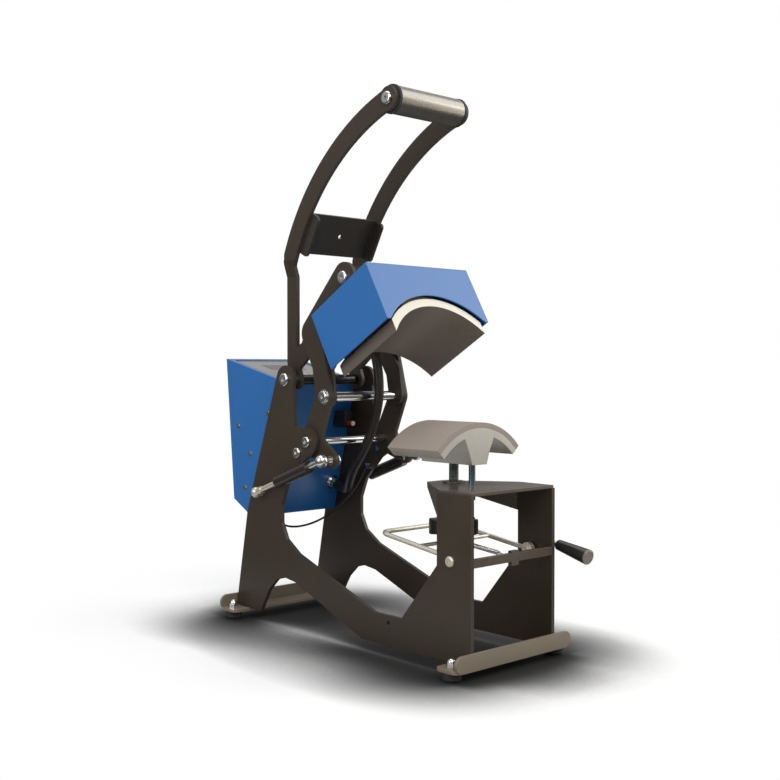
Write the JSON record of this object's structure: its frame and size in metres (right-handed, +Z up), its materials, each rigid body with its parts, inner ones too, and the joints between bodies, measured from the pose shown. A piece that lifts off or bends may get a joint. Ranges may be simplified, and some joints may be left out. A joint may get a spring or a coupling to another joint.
{
  "type": "cap heat press",
  "caption": "Clamshell cap press: curved heated head on lever-toggle arms over a curved padded platen, side-plate frame, gas springs, sloped control box and cap hold-down bail.",
  "frame": {"origin": "on the floor under the middle of the whole press, both in width and in depth", "axes": "+X to the operator's right, +Y to the rear of the press, +Z up; the operator stands at -Y"},
  "size_m": [0.221, 0.5927, 0.768],
  "materials": {
    "frame_paint": "satin",
    "blue_paint": "gloss",
    "panel_plate": "satin",
    "display_glass": "gloss",
    "circuit_board": "matte",
    "black_plastic": "matte",
    "grey_buttons": "satin",
    "red_plunger": "gloss",
    "rubber": "matte",
    "chrome": "polished",
    "black_steel": "satin",
    "brass_screw": "polished",
    "brushed_steel": "brushed",
    "cast_aluminium": "machined",
    "silicone": "matte",
    "heater_mat_rubber": "matte",
    "wool_insulation": "matte",
    "cable_jacket": "satin"
  },
  "bodies": {
    "frame": {"side_plate_left": "frame_paint", "side_plate_right": "frame_paint", "top_plate": "frame_paint", "foot_bars": "frame_paint", "foot_nuts": "chrome", "rubber_feet": "rubber", "cross_bar": "frame_paint", "pivot_shafts": "chrome", "frame_bolts": "chrome", "gas_studs": "chrome", "control_box": "blue_paint", "control_panel": "panel_plate", "display_window": "display_glass", "controller_board": "circuit_board", "power_inlet": "black_plastic", "box_screws": "brass_screw", "cable_fittings": "chrome", "heater_hose": "cable_jacket", "sensor_cable": "cable_jacket", "limit_switch": "black_plastic", "bail_spring": "chrome"},
    "press_arms": {"press_arm_left": "frame_paint", "press_arm_right": "frame_paint", "toggle_rod": "chrome", "head_pivot_bolts": "chrome", "tail_studs": "chrome"},
    "head": {"hood": "blue_paint", "heat_platen": "cast_aluminium", "heater_mat": "heater_mat_rubber", "head_saddle": "frame_paint", "insulation": "wool_insulation", "terminal_cover": "blue_paint"},
    "handle": {"handle_arm_left": "frame_paint", "handle_arm_right": "frame_paint", "handle_tube": "black_steel", "crank_pins": "black_steel", "handle_brace": "frame_paint", "grip_spindle": "chrome"},
    "grip_roller": {"handle_grip": "brushed_steel", "grip_rings": "rubber"},
    "toggle_links": {"toggle_link_left": "frame_paint", "toggle_link_right": "frame_paint"},
    "gas_rod_l": {"gas_rod_left": "chrome"},
    "gas_rod_r": {"gas_rod_right": "chrome"},
    "gas_tube_l": {"gas_tube_left": "black_steel"},
    "gas_tube_r": {"gas_tube_right": "black_steel"},
    "lower_press": {"lower_platen": "cast_aluminium", "silicone_pad": "silicone", "guide_pin": "chrome"},
    "screw": {"pressure_screw": "chrome", "pressure_knob": "black_plastic"},
    "bail": {"cap_bail": "chrome", "bail_pins": "chrome", "lever_rod": "chrome", "lever_grip": "black_plastic"},
    "button_a": {"button_1": "grey_buttons"},
    "button_b": {"button_2": "grey_buttons"},
    "button_c": {"button_3": "grey_buttons"},
    "rocker": {"power_rocker": "black_plastic"},
    "switch_plunger": {"limit_plunger": "red_plunger"}
  },
  "joints": [
    {"name": "handle_swing", "type": "hinge", "parent": "frame", "child": "handle", "pos_m": [0, 0.13337, 0.369], "axis": [1, 0, 0], "range_deg": [0, 51]},
    {"name": "grip_spin", "type": "hinge", "parent": "handle", "child": "grip_roller", "pos_m": [0, -0.08063, 0.748], "axis": [1, 0, 0], "continuous": true},
    {"name": "press_arm_swing", "type": "hinge", "parent": "frame", "child": "press_arms", "pos_m": [0, 0.08138, 0.279], "axis": [1, 0, 0], "range_deg": [0, 42.6], "deforming": ["heater_hose"]},
    {"name": "head_float", "type": "hinge", "parent": "press_arms", "child": "head", "pos_m": [0, 0.00637, 0.513], "axis": [1, 0, 0], "range_deg": [-12.6, 0]},
    {"name": "toggle_swing", "type": "hinge", "parent": "handle", "child": "toggle_links", "pos_m": [0, 0.09738, 0.42], "axis": [1, 0, 0], "range_deg": [-58.2, 0]},
    {"name": "gas_rod_left_swing", "type": "hinge", "parent": "frame", "child": "gas_rod_l", "pos_m": [-0.092, 0.19137, 0.198], "axis": [1, 0, 0], "range_deg": [0, 7.1]},
    {"name": "gas_rod_right_swing", "type": "hinge", "parent": "frame", "child": "gas_rod_r", "pos_m": [0.092, 0.19137, 0.198], "axis": [1, 0, 0], "range_deg": [0, 7.1]},
    {"name": "gas_tube_left_slide", "type": "slide", "parent": "gas_rod_l", "child": "gas_tube_l", "axis": [0, 0.9407, -0.3394], "range_m": [0, 0.0344]},
    {"name": "gas_tube_right_slide", "type": "slide", "parent": "gas_rod_r", "child": "gas_tube_r", "axis": [0, 0.9407, -0.3394], "range_m": [0, 0.0344]},
    {"name": "platen_height", "type": "slide", "parent": "frame", "child": "lower_press", "axis": [0, 0, 1], "range_m": [-0.006, 0]},
    {"name": "pressure_screw_turn", "type": "hinge", "parent": "lower_press", "child": "screw", "pos_m": [0, -0.137, 0.2], "axis": [0, 0, 1], "range_deg": [-1080, 0]},
    {"name": "bail_swing", "type": "hinge", "parent": "frame", "child": "bail", "pos_m": [0, -0.21063, 0.143], "axis": [1, 0, 0], "range_deg": [-25, 0], "deforming": ["bail_spring"]},
    {"name": "button_a_press", "type": "slide", "parent": "frame", "child": "button_a", "axis": [0, 0.2264, -0.974], "range_m": [0, 0.0012], "stiffness_N_per_m": 800, "springref_m": -0.0004},
    {"name": "button_b_press", "type": "slide", "parent": "frame", "child": "button_b", "axis": [0, 0.2264, -0.974], "range_m": [0, 0.0012], "stiffness_N_per_m": 800, "springref_m": -0.0004},
    {"name": "button_c_press", "type": "slide", "parent": "frame", "child": "button_c", "axis": [0, 0.2264, -0.974], "range_m": [0, 0.0012], "stiffness_N_per_m": 800, "springref_m": -0.0004},
    {"name": "power_rock", "type": "hinge", "parent": "frame", "child": "rocker", "pos_m": [0.017, 0.28305, 0.225], "axis": [0, 0.0901, 0.9959], "range_deg": [-4, 4]},
    {"name": "limit_switch_press", "type": "slide", "parent": "frame", "child": "switch_plunger", "axis": [0, 1, 0], "range_m": [0, 0.0025], "stiffness_N_per_m": 300, "springref_m": -0.001}
  ],
  "couplings": [
    {"joint": "press_arm_swing", "follows": "handle_swing", "ratio": 0.83333},
    {"joint": "head_float", "follows": "handle_swing", "ratio": -0.2451},
    {"joint": "toggle_swing", "follows": "handle_swing", "ratio": -1.14},
    {"joint": "gas_rod_left_swing", "follows": "handle_swing", "ratio": 0.13839},
    {"joint": "gas_rod_right_swing", "follows": "handle_swing", "ratio": 0.13839},
    {"joint": "gas_tube_left_slide", "follows": "handle_swing", "m_per_rad": 0.038501},
    {"joint": "gas_tube_right_slide", "follows": "handle_swing", "m_per_rad": 0.038501},
    {"joint": "pressure_screw_turn", "follows": "platen_height", "rad_per_m": 3141.6}
  ]
}
